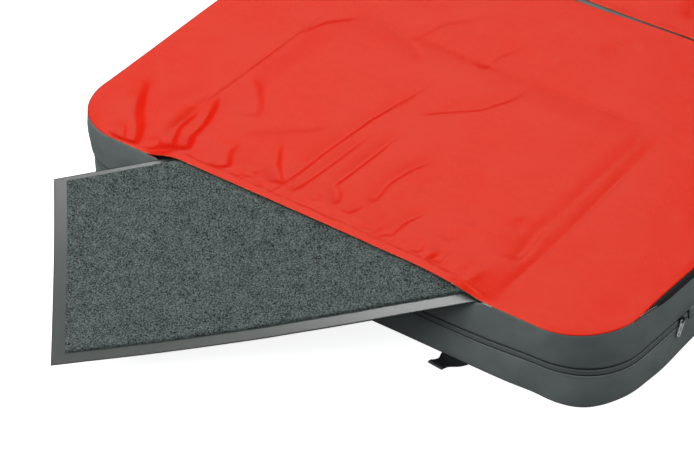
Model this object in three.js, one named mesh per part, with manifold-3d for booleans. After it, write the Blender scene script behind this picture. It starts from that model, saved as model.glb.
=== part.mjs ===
// A two-panel folding crash pad for bouldering, with a doormat that slides out of a pocket in its top.
// Millimetres, +Z up. The origin is the centre of the front half's underside. The pad's long side lies
// along Y: the front half is centred on y = 0, and the rear half folds up and over about the hinge line.
import * as THREE from 'three';
import { mergeVertices } from 'three/addons/utils/BufferGeometryUtils.js';
import Module from 'manifold-3d';

const wasm = await Module();
wasm.setup();

// Driving dimensions
const WIDTH = 980;
const HALF_LENGTH = 690;
const THICK = 125;
const CORNER = 100;
const HINGE_GAP = 10.6;
const GAP = 0.3;
const SKIN = 2;
const BASE = 6;
const FOAM_INSET = 6;
const CLOSED_CELL_TOP = 34;
const CLOSED_CELL_BASE = 22;

// The pocket in the front half's top, and its slot in the front edge
const POCKET = { x0: -320, x1: 310, depth: 475, height: 9 };
const HEM = { width: 12, thick: 1 };
const BAR_TACK = { length: 17, width: 3, thick: 0.8, setBack: 1 };

// The doormat: a rubber sheet with a carpet face, lying askew in the pocket and drooping outside it.
// `corner` is its outer left corner, measured from the middle of the slot.
const MAT = {
  width: 371,
  length: 620,
  corner: [-420, -100.5],
  turn: 39.7,
  rubber: 2,
  carpet: 4,
  border: 20,
  rearBorder: 11,
  droop: 11.5,
};

// The zip that runs round the free end of each half, a little below the middle of its side band.
// Its tapes and coil run past `end` under the garages.
const ZIP = { z: 55, slot: 9, end: 484, slider: 492 };
const ZIP_TAPE = { width: 12, thick: 1, past: 8 };
const ZIP_COIL = { width: 5, thick: 1.5, past: 4 };

// A slider, measured along its zip, across it and out from it; and the tab that hangs on its bridge
const SLIDER = { length: 14, width: 7.8, height: 3.9 };
const BRIDGE = { length: 6, thick: 1.4, top: 7.1, eyeLength: 4.2, eyeLow: 4.2, eyeHigh: 6.2 };
const PULL = { reach: 24, arm: 4, armLength: 8, half: 3, thick: 1.2, pin: 0.5, hole: 1.4, skew: 50 };

// Fabric patches over the ends of the side zip
const GARAGE = { start: 1, length: 36, half: 11, thick: 1.4 };

// The short zip along the right top edge of the front half
const EDGE_ZIP = {
  z: 117,
  start: 586,
  teethEnd: 552,
  end: 34,
  height: 9,
  thick: 1,
  slider: 48,
  sliderOut: 2.9,
};

const EDGE_TEETH = { pitch: 2.6, width: 1.4, half: 2, proud: 1.4, spine: 0.8, margin: 2 };

// Webbing, and the straps that lie in the rear half's underside
const WEBBING = { width: 25, thick: 2.4 };
const STRAP_X = 130;
const CLOSURE_X = 243;
const SHOULDER = { anchorStart: -620, padStart: -560, padEnd: -180, end: -60, padWidth: 64, padThick: 4.6 };
const HOOK = { start: -570, end: -545, width: 34, thick: 3.5 };

// The webbing tab in the bottom seam: half widths at root and tip, how far it reaches, how far the tip lifts
const TAB = { root: 23, tip: 12, reach: 42, thick: 2.4, lift: 14, hemSlant: 0.8 };

const FREE_Y = -HALF_LENGTH;
const HINGE_Y = -HINGE_GAP / 2;
const TOP_SKIN_Z = THICK - SKIN;
const POCKET_WALL = 1;
const POCKET_FLOOR_Z = TOP_SKIN_Z - POCKET.height;

function material(color, roughness, metalness = 0) {
  return new THREE.MeshStandardMaterial({ color, roughness, metalness });
}

const LOOKS = {
  red: material(0xe4462f, 0.75),
  grey: material(0x50544f, 0.8),
  black: material(0x1b1d1f, 0.8),
  tape: material(0x2a2d2e, 0.85),
  coil: material(0x9a9d9c, 0.5),
  zinc: material(0x2b2d2e, 0.35, 0.8),
  pull: material(0x9da09e, 0.5),
  rubber: material(0x5c625f, 0.7),
  carpet: material(0x505a58, 0.95),
  closedFoam: material(0x3c3f42, 0.9),
  openFoam: material(0xd8cfae, 0.95),
  thread: material(0xe8e6df, 0.8),
};

// ---------- solids ----------

function toSolid(geometry) {
  const bare = geometry.index ? geometry.toNonIndexed() : geometry.clone();
  bare.deleteAttribute('normal');
  bare.deleteAttribute('uv');
  const merged = mergeVertices(bare, 1e-4);
  return new wasm.Manifold(new wasm.Mesh({
    numProp: 3,
    vertProperties: merged.attributes.position.array,
    triVerts: new Uint32Array(merged.index.array),
  }));
}

function toGeometry(solid) {
  const mesh = solid.getMesh();
  const geometry = new THREE.BufferGeometry();
  geometry.setAttribute('position', new THREE.BufferAttribute(mesh.vertProperties, mesh.numProp));
  geometry.setIndex(new THREE.BufferAttribute(mesh.triVerts, 1));
  return geometry;
}

function prismGeometry(shape, z0, z1, curveSegments = 10) {
  const geometry = new THREE.ExtrudeGeometry(shape, { depth: z1 - z0, bevelEnabled: false, curveSegments });
  return geometry.translate(0, 0, z0);
}

function prism(shape, z0, z1) {
  return toSolid(prismGeometry(shape, z0, z1));
}

function block(low, high) {
  const size = high.map((value, i) => value - low[i]);
  const middle = high.map((value, i) => (value + low[i]) / 2);
  return toSolid(new THREE.BoxGeometry(...size).translate(...middle));
}

function addPiece(group, name, solid, look) {
  const mesh = new THREE.Mesh(toGeometry(solid), look.clone());
  mesh.name = name;
  group.add(mesh);
}

// ---------- outlines ----------

// One half in plan, pulled in by `inset`: round corners at the free end, square ones at the hinge.
function halfOutline(inset) {
  const x = WIDTH / 2 - inset;
  const free = FREE_Y + inset;
  const hinge = HINGE_Y - inset;
  const r = CORNER - inset;
  const shape = new THREE.Shape();
  shape.moveTo(-x, hinge);
  shape.lineTo(-x, free + r);
  shape.absarc(-x + r, free + r, r, Math.PI, Math.PI * 1.5, false);
  shape.lineTo(x - r, free);
  shape.absarc(x - r, free + r, r, Math.PI * 1.5, Math.PI * 2, false);
  shape.lineTo(x, hinge);
  shape.closePath();
  return shape;
}

function halfSlab(inset, z0, z1) {
  return prism(halfOutline(inset), z0, z1);
}

// A wall that follows the free end and both sides, from `outer` to `inner` inset, stopping at y = `end`.
function sideWall(outer, inner, z0, z1, end) {
  const core = halfSlab(inner, z0 - 1, z1 + 1);
  const past = block([-WIDTH, end, z0 - 1], [WIDTH, 10, z1 + 1]);
  return halfSlab(outer, z0, z1).subtract(core).subtract(past);
}

function stadium(length, width) {
  const r = width / 2;
  const shape = new THREE.Shape();
  shape.moveTo(-length / 2 + r, -r);
  shape.lineTo(length / 2 - r, -r);
  shape.absarc(length / 2 - r, 0, r, -Math.PI / 2, Math.PI / 2, false);
  shape.lineTo(-length / 2 + r, r);
  shape.absarc(-length / 2 + r, 0, r, Math.PI / 2, Math.PI * 1.5, false);
  return shape;
}

// ---------- cover ----------

function bands() {
  const wallEnd = HINGE_Y - SKIN - GAP;
  const zipFace = block([-WIDTH, FREE_Y - 10, ZIP.z - ZIP.slot / 2], [WIDTH, -ZIP.end, ZIP.z + ZIP.slot / 2]);
  const lower = sideWall(0, SKIN, BASE + GAP, ZIP.z - GAP / 2, wallEnd).subtract(zipFace);
  const upper = sideWall(0, SKIN, ZIP.z + GAP / 2, TOP_SKIN_Z - GAP, wallEnd).subtract(zipFace);
  return { lower, upper };
}

function hingeWall() {
  return block([-WIDTH / 2, HINGE_Y - SKIN, BASE + GAP], [WIDTH / 2, HINGE_Y, TOP_SKIN_Z - GAP]);
}

function zipTape(z0, z1) {
  const outer = SKIN + GAP;
  return sideWall(outer, outer + ZIP_TAPE.thick, z0, z1, -ZIP.end + ZIP_TAPE.past);
}

function zipCoil() {
  const outer = SKIN + ZIP_TAPE.thick + 2 * GAP;
  const half = ZIP_COIL.width / 2;
  return sideWall(outer, outer + ZIP_COIL.thick, ZIP.z - half, ZIP.z + half, -ZIP.end + ZIP_COIL.past);
}

// A folded fabric patch that covers each end of the side zip
function zipGarage(side) {
  const near = side * (WIDTH / 2 + GAP);
  const far = near + side * GARAGE.thick;
  const start = -ZIP.end + GARAGE.start;
  const low = [Math.min(near, far), start, ZIP.z - GARAGE.half];
  const high = [Math.max(near, far), start + GARAGE.length, ZIP.z + GARAGE.half];
  return block(low, high);
}

// ---------- foam ----------

function foams() {
  const low = BASE + GAP;
  const high = TOP_SKIN_Z - GAP;
  const baseTop = low + CLOSED_CELL_BASE;
  const topLow = high - CLOSED_CELL_TOP;
  return {
    base: halfSlab(FOAM_INSET, low, baseTop),
    core: halfSlab(FOAM_INSET, baseTop + GAP, topLow - GAP),
    top: halfSlab(FOAM_INSET, topLow, high),
  };
}

// ---------- pocket ----------

// A tray of lining fabric under the top panel, open at the front edge
function pocketLining() {
  const back = FREE_Y + POCKET.depth;
  const top = TOP_SKIN_Z - GAP;
  const outside = block(
    [POCKET.x0 - POCKET_WALL, FREE_Y, POCKET_FLOOR_Z - POCKET_WALL],
    [POCKET.x1 + POCKET_WALL, back + POCKET_WALL, top],
  );
  return outside.subtract(block([POCKET.x0, FREE_Y - 1, POCKET_FLOOR_Z], [POCKET.x1, back, top + 1]));
}

// The room that the lining takes out of whatever lies under and around it
function pocketRoom(z1) {
  const back = FREE_Y + POCKET.depth;
  const clear = POCKET_WALL + GAP;
  return block(
    [POCKET.x0 - clear, FREE_Y - 1, POCKET_FLOOR_Z - clear],
    [POCKET.x1 + clear, back + clear, z1],
  );
}

function slotHem() {
  const z = TOP_SKIN_Z - GAP;
  return block([POCKET.x0 + 1, FREE_Y, z - HEM.thick], [POCKET.x1 - 1, FREE_Y + HEM.width, z]);
}

function barTack(x) {
  const low = [x - BAR_TACK.length / 2, FREE_Y + BAR_TACK.setBack, THICK + GAP];
  return block(low, [low[0] + BAR_TACK.length, low[1] + BAR_TACK.width, low[2] + BAR_TACK.thick]);
}

// ---------- zip sliders ----------

// A slider lying on the plane x = 0 with its zip along Y: body, and a bridge that the pull tab's eye rides on
function sliderBody() {
  const body = prism(stadium(SLIDER.length, SLIDER.width), 0, SLIDER.height);
  const half = BRIDGE.thick / 2;
  const long = BRIDGE.length / 2;
  const open = BRIDGE.eyeLength / 2;
  const bridge = block([-long, -half, SLIDER.height - 0.1], [long, half, BRIDGE.top]);
  const eye = block([-open, -BRIDGE.thick, BRIDGE.eyeLow], [open, BRIDGE.thick, BRIDGE.eyeHigh]);
  return body.add(bridge).subtract(eye);
}

// The pull tab, its cross bar at the origin: the bar passes under the bridge, and the arms stand astride it
function pullTab() {
  const { reach, arm, armLength, half, thick, pin, hole } = PULL;
  const taper = armLength + 2;
  const outline = new THREE.Shape();
  outline.moveTo(pin, -arm);
  outline.lineTo(pin, arm);
  outline.lineTo(-armLength, arm);
  outline.lineTo(-taper, half);
  outline.lineTo(-reach, half);
  outline.absarc(-reach, 0, half, Math.PI / 2, Math.PI * 1.5, false);
  outline.lineTo(-taper, -half);
  outline.lineTo(-armLength, -arm);
  outline.closePath();
  const plate = prism(outline, -thick / 2, thick / 2);
  const eye = block([-pin - 4, 1 - arm, -thick], [-pin, arm - 1, thick]);
  const bore = new THREE.CylinderGeometry(hole, hole, 4 * thick, 16).rotateX(Math.PI / 2);
  return plate.subtract(eye).subtract(toSolid(bore.translate(-reach, 0, 0)));
}

// A slider and its tab on the right side band. The slider's X runs along the zip, towards the hinge.
function addSlider(group, prefix, x, y, z) {
  const place = new THREE.Group();
  place.rotation.setFromRotationMatrix(new THREE.Matrix4().makeBasis(
    new THREE.Vector3(0, 1, 0),
    new THREE.Vector3(0, 0, 1),
    new THREE.Vector3(1, 0, 0),
  ));
  place.position.set(x, y, z);
  group.add(place);
  addPiece(place, `${prefix}_slider`, sliderBody(), LOOKS.zinc);
  const hang = new THREE.Group();
  hang.position.set(GAP, 0, (BRIDGE.eyeLow + BRIDGE.eyeHigh) / 2);
  hang.rotation.z = THREE.MathUtils.degToRad(PULL.skew);
  place.add(hang);
  addPiece(hang, `${prefix}_pull_tab`, pullTab(), LOOKS.pull);
}

// ---------- edge zip ----------

function edgeZip() {
  const x = WIDTH / 2 + GAP;
  const z0 = EDGE_ZIP.z - EDGE_ZIP.height / 2;
  const z1 = EDGE_ZIP.z + EDGE_ZIP.height / 2;
  const tape = block([x, -EDGE_ZIP.start, z0], [x + EDGE_ZIP.thick, -EDGE_ZIP.end, z1]);
  const x0 = x + EDGE_ZIP.thick + GAP;
  const mid = EDGE_ZIP.z;
  const side = ZIP_COIL.width / 2;
  const coil = block([x0, -EDGE_ZIP.teethEnd, mid - side], [x0 + EDGE_ZIP.thick, -EDGE_ZIP.end, mid + side]);
  const { pitch, width, half, proud, spine, margin } = EDGE_TEETH;
  const low = -EDGE_ZIP.start + margin;
  const count = Math.floor((EDGE_ZIP.start - EDGE_ZIP.teethEnd - 2 * margin) / pitch);
  let teeth = block([x0, low, mid - spine / 2], [x0 + spine, low + count * pitch, mid + spine / 2]);
  for (let i = 0; i < count; i += 1) {
    const y = low + i * pitch;
    teeth = teeth.add(block([x0, y, mid - half], [x0 + proud, y + width, mid + half]));
  }
  return { tape, coil, teeth };
}

// ---------- webbing, straps and hooks on the underside ----------

// A webbing tab sewn into the bottom seam: wide at the root, waisted, with a hemmed tip that lifts
function closureTab(x) {
  const { root, tip, reach, thick, lift, hemSlant } = TAB;
  const plan = new THREE.Shape();
  plan.moveTo(-root, 0);
  plan.quadraticCurveTo(-tip, -reach * 0.25, -tip, -reach);
  plan.lineTo(tip, -reach);
  plan.quadraticCurveTo(tip, -reach * 0.25, root, 0);
  plan.closePath();
  const side = new THREE.Shape();
  side.moveTo(0, 0);
  side.lineTo(0, thick);
  side.quadraticCurveTo(-reach * 0.5, thick, -reach, lift);
  side.lineTo(-reach + hemSlant, lift - thick);
  side.quadraticCurveTo(-reach * 0.5, 0, -reach * 0.3, 0);
  side.closePath();
  const ribbon = prismGeometry(side, -2 * root, 2 * root, 6);
  ribbon.applyMatrix4(new THREE.Matrix4().makeBasis(
    new THREE.Vector3(0, 1, 0),
    new THREE.Vector3(0, 0, 1),
    new THREE.Vector3(1, 0, 0),
  ));
  return prism(plan, -1, lift + 1).intersect(toSolid(ribbon)).translate([x, FREE_Y - GAP, 0]);
}

// Everything that lies flat in the rear half's underside, as [name, look, low corner, high corner]
function undersideStraps() {
  const pieces = [];
  for (const [side, sign] of [['left', -1], ['right', 1]]) {
    const x = sign * STRAP_X;
    const closure = sign * CLOSURE_X;
    const flat = (name, look, centre, width, y0, y1, thick) => {
      pieces.push([name, look, [centre - width / 2, y0, 0], [centre + width / 2, y1, thick]]);
    };
    const web = (name, centre, y0, y1) => {
      flat(name, LOOKS.black, centre, WEBBING.width, y0, y1, WEBBING.thick);
    };
    web(`shoulder_anchor_${side}`, x, SHOULDER.anchorStart, SHOULDER.padStart - GAP);
    const { padWidth, padStart, padEnd, padThick } = SHOULDER;
    flat(`shoulder_pad_${side}`, LOOKS.grey, x, padWidth, padStart, padEnd, padThick);
    web(`shoulder_webbing_${side}`, x, SHOULDER.padEnd + GAP, SHOULDER.end);
    web(`closure_webbing_${side}`, closure, FREE_Y + 0.5, HOOK.start - GAP);
    flat(`closure_hook_${side}`, LOOKS.zinc, closure, HOOK.width, HOOK.start, HOOK.end, HOOK.thick);
  }
  return pieces;
}

function grooveFor(low, high) {
  const clear = GAP + 0.2;
  const free = low[1] < FREE_Y + 1 ? FREE_Y - 1 : low[1] - clear;
  return block([low[0] - clear, free, -1], [high[0] + clear, high[1] + clear, high[2] + GAP]);
}

// ---------- doormat ----------

// The doormat's outline, cut flat, with `rearInset` taken off its rear side and `inset` off the others.
// The slot is at y = 0.
function matOutline(inset, rearInset) {
  const turn = THREE.MathUtils.degToRad(MAT.turn);
  const along = new THREE.Vector2(Math.cos(turn), Math.sin(turn));
  const across = new THREE.Vector2(Math.sin(turn), -Math.cos(turn));
  const origin = new THREE.Vector2(...MAT.corner);
  const corner = (a, b) => origin.clone().addScaledVector(along, a).addScaledVector(across, b);
  return new THREE.Shape([
    corner(inset, rearInset),
    corner(inset, MAT.width - inset),
    corner(MAT.length - inset, MAT.width - inset),
    corner(MAT.length - inset, rearInset),
  ]);
}

// A layer of the mat: flat inside the pocket, and tilted down outside it about the slot's lower lip.
// Both parts end on the mitre plane of the bend, so they join along one shared face.
function matLayer(inset, rearInset, z0, z1) {
  const droop = THREE.MathUtils.degToRad(MAT.droop);
  const mitre = Math.tan(droop / 2);
  const reach = WIDTH;
  const flat = prism(matOutline(inset, rearInset), z0, z1);
  const bend = (v) => {
    const onMitre = Math.abs(v[1]) < 1e-3;
    if (onMitre) v[1] = -v[2] * mitre;
    else if (v[1] < 0) {
      const [, y, z] = v;
      v[1] = y * Math.cos(droop) - z * Math.sin(droop);
      v[2] = y * Math.sin(droop) + z * Math.cos(droop);
    }
  };
  const inside = flat.intersect(block([-reach, 0, z0 - 1], [reach, reach, z1 + 1])).warp(bend);
  const outside = flat.intersect(block([-reach, -reach, z0 - 1], [reach, 0, z1 + 1])).warp(bend);
  return inside.add(outside).translate([0, FREE_Y, POCKET_FLOOR_Z + GAP]);
}

// ---------- the two halves ----------

function addHalf(group, end) {
  const front = end === 'front';
  const cut = (solid) => (front ? solid.subtract(pocketRoom(THICK + 1)) : solid);
  const { lower, upper } = bands();
  const { base, core, top } = foams();
  const straps = front ? [] : undersideStraps();
  const basePanel = straps.reduce((panel, piece) => panel.subtract(grooveFor(piece[2], piece[3])),
    halfSlab(0, 0, BASE));

  addPiece(group, `${end}_top_panel`, halfSlab(0, TOP_SKIN_Z, THICK), LOOKS.red);
  addPiece(group, `${end}_side_band_upper`, cut(upper), LOOKS.grey);
  addPiece(group, `${end}_side_band_lower`, lower, LOOKS.grey);
  addPiece(group, `${end}_hinge_wall`, hingeWall(), LOOKS.grey);
  addPiece(group, `${end}_base_panel`, basePanel, LOOKS.grey);
  addPiece(group, `${end}_foam_top`, cut(top), LOOKS.closedFoam);
  addPiece(group, `${end}_foam_core`, core, LOOKS.openFoam);
  addPiece(group, `${end}_foam_base`, base, LOOKS.closedFoam);
  addPiece(group, `${end}_zip_tape_upper`, zipTape(ZIP.z + GAP, ZIP.z + ZIP_TAPE.width), LOOKS.tape);
  addPiece(group, `${end}_zip_tape_lower`, zipTape(ZIP.z - ZIP_TAPE.width, ZIP.z - GAP), LOOKS.tape);
  addPiece(group, `${end}_zip_coil`, zipCoil(), LOOKS.coil);
  addPiece(group, `${end}_zip_garage_left`, zipGarage(-1), LOOKS.black);
  addPiece(group, `${end}_zip_garage_right`, zipGarage(1), LOOKS.black);
  addSlider(group, `${end}_zip`, WIDTH / 2 - SKIN, -ZIP.slider, ZIP.z);
  for (const [name, look, low, high] of straps) addPiece(group, name, block(low, high), look);
}

function addFrontOnly(group) {
  const edge = edgeZip();
  addPiece(group, 'pocket_lining', pocketLining(), LOOKS.grey);
  addPiece(group, 'slot_hem', slotHem(), LOOKS.red);
  addPiece(group, 'bar_tack_left', barTack(POCKET.x0 + BAR_TACK.length / 2), LOOKS.thread);
  addPiece(group, 'bar_tack_right', barTack(POCKET.x1 - BAR_TACK.length / 2), LOOKS.thread);
  addPiece(group, 'edge_zip_tape', edge.tape, LOOKS.tape);
  addPiece(group, 'edge_zip_coil', edge.coil, LOOKS.tape);
  addPiece(group, 'edge_zip_teeth', edge.teeth, LOOKS.coil);
  addSlider(group, 'edge_zip', WIDTH / 2 + EDGE_ZIP.sliderOut, -EDGE_ZIP.slider, EDGE_ZIP.z);
  addPiece(group, 'closure_tab_left', closureTab(-CLOSURE_X), LOOKS.black);
  addPiece(group, 'closure_tab_right', closureTab(CLOSURE_X), LOOKS.black);
  addPiece(group, 'doormat_rubber', matLayer(0, 0, 0, MAT.rubber), LOOKS.rubber);
  const carpet = matLayer(MAT.border, MAT.rearBorder, MAT.rubber + GAP, MAT.rubber + MAT.carpet);
  addPiece(group, 'doormat_carpet', carpet, LOOKS.carpet);
}

const crashPad = new THREE.Group();

const frontHalf = new THREE.Group();
frontHalf.position.y = HALF_LENGTH / 2;
addHalf(frontHalf, 'front');
addFrontOnly(frontHalf);
const strip = block([-WIDTH / 2, HINGE_Y + GAP, TOP_SKIN_Z], [WIDTH / 2, -HINGE_Y - GAP, THICK]);
addPiece(frontHalf, 'hinge_strip', strip, LOOKS.grey);
crashPad.add(frontHalf);

// The rear half is the front half's mirror image about the hinge line.
const rearHalf = new THREE.Group();
rearHalf.position.y = HALF_LENGTH / 2;
rearHalf.scale.y = -1;
addHalf(rearHalf, 'rear');
crashPad.add(rearHalf);

export default crashPad;
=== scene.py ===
"""A bouldering crash pad with its doormat half out of the pocket: red top, grey sides, zips, webbing."""
import math

import bpy
import numpy as np
from mathutils import Euler, Matrix, Vector


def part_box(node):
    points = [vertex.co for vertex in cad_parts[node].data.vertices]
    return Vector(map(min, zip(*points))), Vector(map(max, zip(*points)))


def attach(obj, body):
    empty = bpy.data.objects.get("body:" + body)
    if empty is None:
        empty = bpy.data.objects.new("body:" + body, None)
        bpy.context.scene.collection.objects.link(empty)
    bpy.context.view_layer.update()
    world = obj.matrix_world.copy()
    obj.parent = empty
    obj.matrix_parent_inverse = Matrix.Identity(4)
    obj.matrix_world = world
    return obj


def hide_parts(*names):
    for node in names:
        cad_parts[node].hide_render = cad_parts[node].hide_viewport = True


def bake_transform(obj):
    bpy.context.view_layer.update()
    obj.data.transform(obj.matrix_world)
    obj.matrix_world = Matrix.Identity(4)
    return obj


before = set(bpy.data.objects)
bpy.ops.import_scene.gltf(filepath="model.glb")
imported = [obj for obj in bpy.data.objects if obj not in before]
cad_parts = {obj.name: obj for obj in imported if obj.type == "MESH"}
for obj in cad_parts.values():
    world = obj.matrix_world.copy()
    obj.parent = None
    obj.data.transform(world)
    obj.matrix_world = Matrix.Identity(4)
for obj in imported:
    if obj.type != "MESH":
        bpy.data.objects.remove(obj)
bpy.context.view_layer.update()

# ---------------------------------------------------------------- sizes, from the CAD parts
MM = 0.001
TOP_LOW, TOP_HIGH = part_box("front_top_panel")
POCKET_LOW, POCKET_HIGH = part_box("pocket_lining")
STRIP_LOW, STRIP_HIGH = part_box("hinge_strip")
HALF_W = TOP_HIGH[0]
FREE_Y = TOP_LOW[1]
HINGE_Y = (STRIP_LOW[1] + STRIP_HIGH[1]) / 2
TOP_Z = TOP_HIGH[2]
CORNER_R = 0.100
ZIP_Z = sum(c[2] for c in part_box("front_zip_coil")) / 2
ZIP_END_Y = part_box("front_zip_garage_right")[0][1]
CLOTH = 1.2 * MM

# ---------------------------------------------------------------- small numeric helpers


def smoothstep(x):
    x = np.clip(x, 0.0, 1.0)
    return x * x * (3 - 2 * x)


def value_noise(x, y, cell, seed):
    """Smooth noise from -1 to 1 with features about `cell` metres wide."""
    lattice = np.random.default_rng(seed).uniform(-1, 1, (64, 64))
    gx, gy = np.asarray(x) / cell, np.asarray(y) / cell
    ix, iy = np.floor(gx).astype(int), np.floor(gy).astype(int)
    tx, ty = smoothstep(gx - ix), smoothstep(gy - iy)
    a, b = lattice[ix % 64, iy % 64], lattice[(ix + 1) % 64, iy % 64]
    c, d = lattice[ix % 64, (iy + 1) % 64], lattice[(ix + 1) % 64, (iy + 1) % 64]
    return (a * (1 - tx) + b * tx) * (1 - ty) + (c * (1 - tx) + d * tx) * ty


def run_lengths(points):
    """The length of each step along a line of points, and the distance from its start to each point."""
    steps = np.linalg.norm(np.diff(points, axis=0), axis=1)
    return steps, np.concatenate([[0], np.cumsum(steps)])


def unit_rows(vectors):
    return vectors / np.linalg.norm(vectors, axis=1, keepdims=True)


def fold_line(x, y, points, width, depth):
    """A fold along a few points: a short steep side on the line, and a long gentle one to its right."""
    points = np.array(points, float)
    steps, ends = run_lengths(points)
    best, along, side = np.full(np.shape(x), 1e9), np.zeros(np.shape(x)), np.ones(np.shape(x))
    for a, b, s0, step in zip(points[:-1], points[1:], ends[:-1], steps):
        d = (b - a) / step
        t = np.clip((x - a[0]) * d[0] + (y - a[1]) * d[1], 0, step)
        gap = np.hypot(x - a[0] - t * d[0], y - a[1] - t * d[1])
        near = gap < best
        best, along = np.where(near, gap, best), np.where(near, s0 + t, along)
        side = np.where(near, np.sign((x - a[0]) * d[1] - (y - a[1]) * d[0]), side)
    part = along / ends[-1]
    fade = smoothstep(part / 0.4 + 0.05) * smoothstep((1 - part) / 0.15 + 0.1)
    signed = best * side
    past_end = np.where((along <= 0) | (along >= ends[-1]), np.exp(-((best / width) ** 2)), 1.0)
    step_side = smoothstep((signed / width + 1) / 2)
    return -depth * fade * past_end * step_side * np.exp(-((np.maximum(signed, 0) / (4.5 * width)) ** 2))


# ---------------------------------------------------------------- meshes


def new_object(name, verts, faces, uvs=None, smooth=True):
    mesh = bpy.data.meshes.new(name)
    mesh.from_pydata([tuple(map(float, v)) for v in verts], [], faces)
    mesh.validate()
    if smooth:
        mesh.shade_smooth()
    if uvs is not None:
        layer = mesh.uv_layers.new(name="metres")
        loops = np.zeros(len(mesh.loops), np.int32)
        mesh.loops.foreach_get("vertex_index", loops)
        layer.data.foreach_set("uv", np.asarray(uvs, np.float32)[loops].ravel())
    obj = bpy.data.objects.new(name, mesh)
    bpy.context.scene.collection.objects.link(obj)
    return obj


def grid_normals(p):
    du, dv = np.gradient(p, axis=0), np.gradient(p, axis=1)
    n = np.cross(du, dv)
    return n / np.maximum(np.linalg.norm(n, axis=2, keepdims=True), 1e-12)


def grid_faces(nu, nv, start=0, flip=False):
    i, j = np.meshgrid(np.arange(nu - 1), np.arange(nv - 1), indexing="ij")
    a = start + i * nv + j
    quads = np.stack([a, a + nv, a + nv + 1, a + 1], axis=-1).reshape(-1, 4)
    return quads[:, ::-1] if flip else quads


def rim_faces(nu, nv):
    """Quads that join the edges of an upper grid to those of the lower grid that follows it."""
    total = nu * nv
    edge = (
        [(i, 0) for i in range(nu)]
        + [(nu - 1, j) for j in range(1, nv)]
        + [(i, nv - 1) for i in range(nu - 2, -1, -1)]
        + [(0, j) for j in range(nv - 2, 0, -1)]
    )
    index = [i * nv + j for i, j in edge]
    return [(a, a + total, b + total, b) for a, b in zip(index, index[1:] + index[:1])]


def cloth_piece(name, p, uv, thick=CLOTH, flip=False, inner=None):
    """A closed sheet: its outer face is the grid p (nu, nv, 3), with normal du x dv, its inner one behind."""
    n = -grid_normals(p) if flip else grid_normals(p)
    nu, nv = p.shape[:2]
    inner = p - n * thick if inner is None else inner
    verts = np.concatenate([p.reshape(-1, 3), inner.reshape(-1, 3)])
    uvs = np.concatenate([uv.reshape(-1, 2)] * 2)
    outer_faces = grid_faces(nu, nv, flip=flip)
    inner_faces = grid_faces(nu, nv, start=nu * nv, flip=not flip)
    rims = rim_faces(nu, nv)
    if flip:
        rims = [f[::-1] for f in rims]
    faces = outer_faces.tolist() + inner_faces.tolist() + [list(f) for f in rims]
    return new_object(name, verts, faces, uvs)


def mirrored(p):
    """Front-half points carried to the rear half: the mirror image about the hinge line."""
    q = np.array(p, float)
    q[..., 1] = 2 * HINGE_Y - q[..., 1]
    return q


def half_piece(name, end, p, uv, thick=CLOTH):
    """A sheet of the front half, or its mirror image on the rear half."""
    rear = end == "rear"
    return cloth_piece(name, mirrored(p) if rear else p, uv, thick, flip=rear)


# ---------------------------------------------------------------- outlines


def side_path(inset=0.0, step=5 * MM, arc_steps=30):
    """The line round the sides of the front half: points, outward normals and arc length."""
    r = CORNER_R - inset
    x, y0, y1 = HALF_W - inset, TOP_HIGH[1], FREE_Y + CORNER_R
    rows = np.linspace(y0, y1, int((y0 - y1) / step) + 1)
    across = np.linspace(-HALF_W + CORNER_R, HALF_W - CORNER_R, int(2 * (HALF_W - CORNER_R) / step) + 1)
    turn = np.linspace(0, math.pi / 2, arc_steps + 1)[1:-1]
    left = [((-x, y), (-1, 0)) for y in rows]
    arc_l = [
        ((-HALF_W + CORNER_R - r * math.cos(t), y1 - r * math.sin(t)), (-math.cos(t), -math.sin(t)))
        for t in turn
    ]
    front = [((v, FREE_Y + inset), (0, -1)) for v in across]
    arc_r = [
        ((HALF_W - CORNER_R + r * math.sin(t), y1 - r * math.cos(t)), (math.sin(t), -math.cos(t)))
        for t in turn
    ]
    right = [((x, y), (1, 0)) for y in rows[::-1]]
    both = np.array(left + arc_l + front + arc_r + right)
    points, normals = both[:, 0], both[:, 1]
    return points, normals, run_lengths(points)[1]


def edge_distance(x, y):
    """How far a point of the front half is inside its outline; the hinge side counts too."""
    cx, cy = HALF_W - CORNER_R, FREE_Y + CORNER_R
    straight = np.minimum(HALF_W - np.abs(x), y - FREE_Y)
    corner = CORNER_R - np.hypot(np.abs(x) - cx, y - cy)
    inside = np.where((np.abs(x) > cx) & (y < cy), corner, straight)
    return np.minimum(inside, TOP_HIGH[1] - y)


def swept(path, offsets, heights):
    """A grid that follows the side path: one row of points per profile entry."""
    points, normals, length = path
    nu, nv = len(points), np.shape(offsets)[-1]
    offsets, heights = np.broadcast_to(offsets, (nu, nv)), np.broadcast_to(heights, (nu, nv))
    p = np.zeros((nu, nv, 3))
    p[..., :2] = points[:, None, :] + normals[:, None, :] * offsets[..., None]
    p[..., 2] = heights
    uv = np.zeros((nu, nv, 2))
    uv[..., 0] = length[:, None]
    uv[..., 1] = heights
    return p, uv


# ---------------------------------------------------------------- materials


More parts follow.
